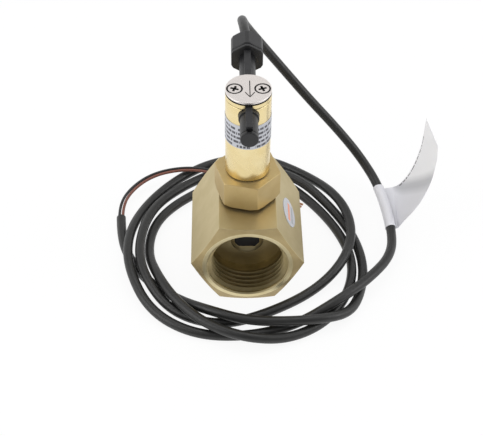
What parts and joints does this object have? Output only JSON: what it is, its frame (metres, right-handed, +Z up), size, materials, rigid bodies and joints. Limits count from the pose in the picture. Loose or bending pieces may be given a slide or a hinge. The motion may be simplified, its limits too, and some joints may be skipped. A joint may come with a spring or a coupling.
{
  "type": "paddle flow switch",
  "caption": "Brass in-line flow switch: threaded hexagonal tee, sprung paddle under an upright head tube, and a sliding reed rod with a coiled cable.",
  "frame": {"origin": "centre of the tee's bottom flat", "axes": "+Z up along the head tube, +Y towards the inlet port, so flow runs to -Y; X runs across the tee"},
  "size_m": [0.1375, 0.1267, 0.0957],
  "materials": {
    "tee_brass": "matte, turned",
    "tube_brass": "polished",
    "plate_nickel": "satin nickel",
    "steel": "satin",
    "seal_rubber": "matte",
    "black_nylon": "moulded",
    "paddle_plastic": "moulded",
    "magnet_ferrite": "sintered",
    "reed_glass": "clear",
    "potting_resin": "cast",
    "cable_pvc": "extruded, soft sheen",
    "core_black_pvc": "extruded",
    "core_brown_pvc": "extruded",
    "copper_strand": "tinned ends",
    "foil": "printed foil",
    "sticker_film": "gloss film",
    "flag_paper": "coated paper"
  },
  "bodies": {
    "housing": {"tee_body": "tee_brass", "adaptor_seal": "seal_rubber", "hex_adaptor": "tee_brass", "tube_o_ring": "seal_rubber", "head_tube": "tube_brass", "clamp_saddle": "tube_brass", "top_plate": "plate_nickel", "plate_screws": "plate_nickel", "foil_label": "foil", "body_sticker": "sticker_film", "pivot_carrier": "tube_brass", "pivot_pin": "steel", "return_spring": "steel"},
    "lever": {"lever_hub": "tube_brass", "lever_arm": "steel", "magnet_stem": "steel", "magnet_cup": "tube_brass", "lever_magnet": "magnet_ferrite", "paddle_plate": "paddle_plastic", "paddle_rivets": "steel"},
    "reed": {"reed_rod": "black_nylon", "rod_cap": "black_nylon", "end_plug": "black_nylon", "reed_capsule": "reed_glass", "reed_contacts": "steel", "reed_leads": "steel", "potting": "potting_resin", "gland_body": "black_nylon", "gland_seal": "seal_rubber", "gland_claw": "black_nylon", "gland_nut": "black_nylon", "cable_sheath": "cable_pvc", "core_black": "core_black_pvc", "core_brown": "core_brown_pvc", "strand_ends": "copper_strand", "cable_flag": "flag_paper"}
  },
  "joints": [
    {"name": "paddle_swing", "type": "hinge", "parent": "housing", "child": "lever", "pos_m": [0, 0, 0.0475], "axis": [-1, 0, 0], "range_deg": [0, 10], "stiffness_Nm_per_rad": 0.002, "springref_deg": -20.05},
    {"name": "reed_slide", "type": "slide", "parent": "housing", "child": "reed", "axis": [0, 1, 0], "range_m": [-0.005, 0]}
  ]
}
